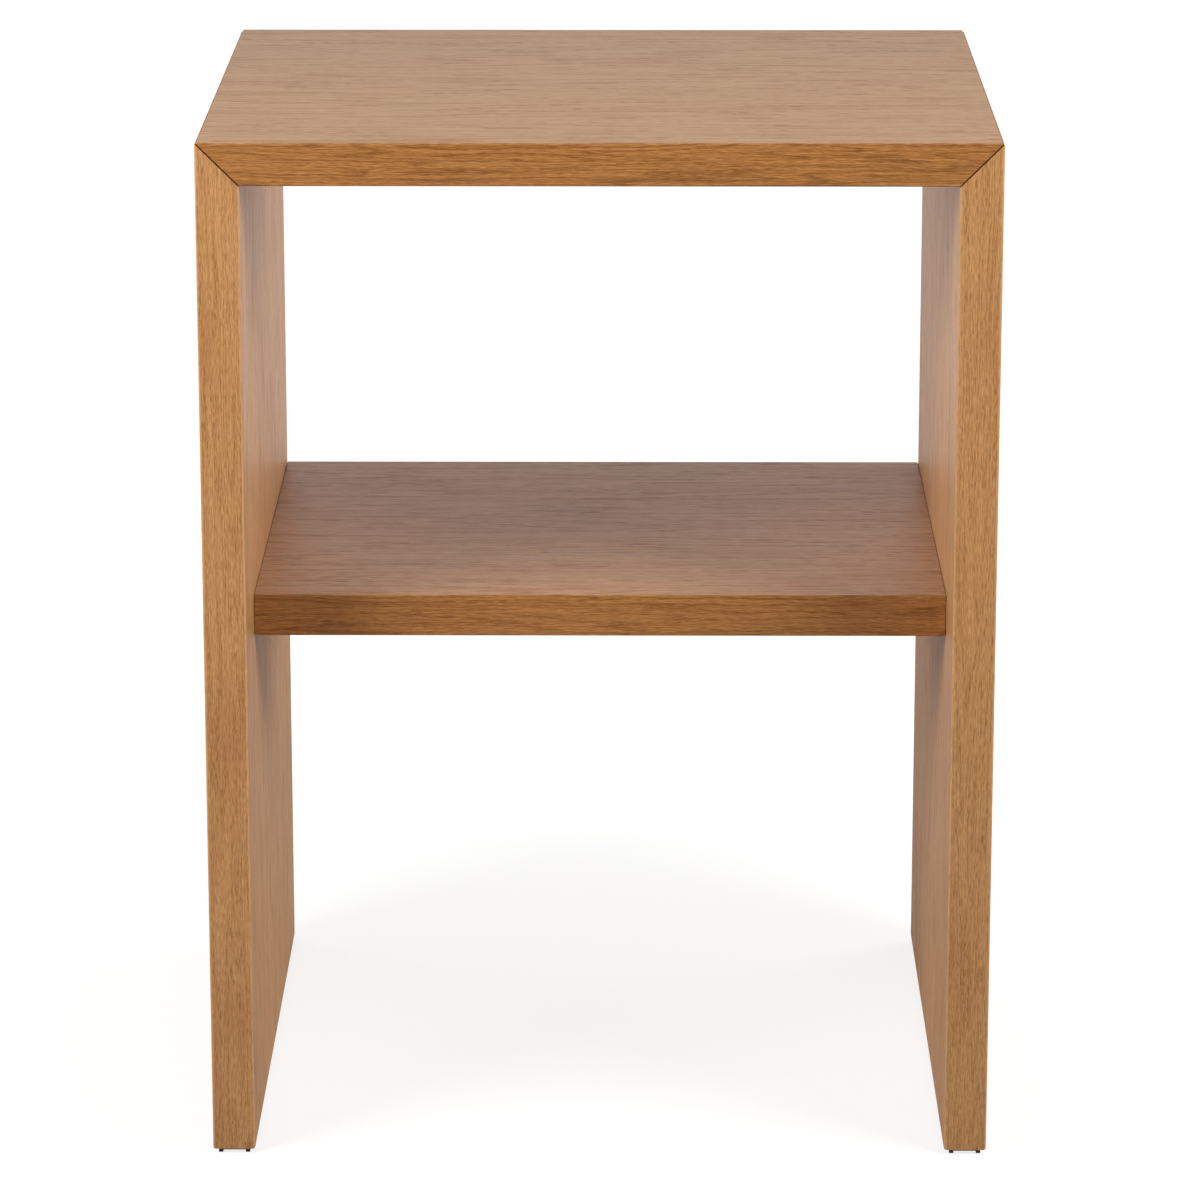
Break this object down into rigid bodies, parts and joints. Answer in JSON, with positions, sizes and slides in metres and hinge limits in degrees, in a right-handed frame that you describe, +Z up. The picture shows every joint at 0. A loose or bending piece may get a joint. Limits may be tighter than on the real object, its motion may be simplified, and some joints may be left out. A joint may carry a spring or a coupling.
{
  "type": "nightstand",
  "caption": "Open oak-veneered nightstand: a top mitred to full-height sides, with a fixed shelf set back between them, joined by hidden dowels and standing on glides.",
  "frame": {"origin": "on the floor, below the middle of the top", "axes": "+Z up, -Y towards the front, +X to the right as seen from the front"},
  "size_m": [0.46, 0.4, 0.61],
  "materials": {
    "oak_veneer": "satin lacquer",
    "oak_band": "satin lacquer",
    "core_board": "raw fibreboard",
    "beech": "raw",
    "nail_steel": "plated",
    "glide_plastic": "moulded"
  },
  "bodies": {
    "root": {"left_side_core": "core_board", "left_side_outer_veneer": "oak_veneer", "left_side_inner_veneer": "oak_veneer", "left_side_front_band": "oak_band", "left_side_rear_band": "oak_band", "right_side_core": "core_board", "right_side_outer_veneer": "oak_veneer", "right_side_inner_veneer": "oak_veneer", "right_side_front_band": "oak_band", "right_side_rear_band": "oak_band", "top_core": "core_board", "top_upper_veneer": "oak_veneer", "top_lower_veneer": "oak_veneer", "top_front_band": "oak_band", "top_rear_band": "oak_band", "shelf_core": "core_board", "shelf_upper_veneer": "oak_veneer", "shelf_lower_veneer": "oak_veneer", "shelf_front_band": "oak_band", "shelf_rear_band": "oak_band", "mitre_dowels": "beech", "shelf_dowels": "beech", "glide_pads": "glide_plastic", "glide_nails": "nail_steel"}
  },
  "joints": []
}
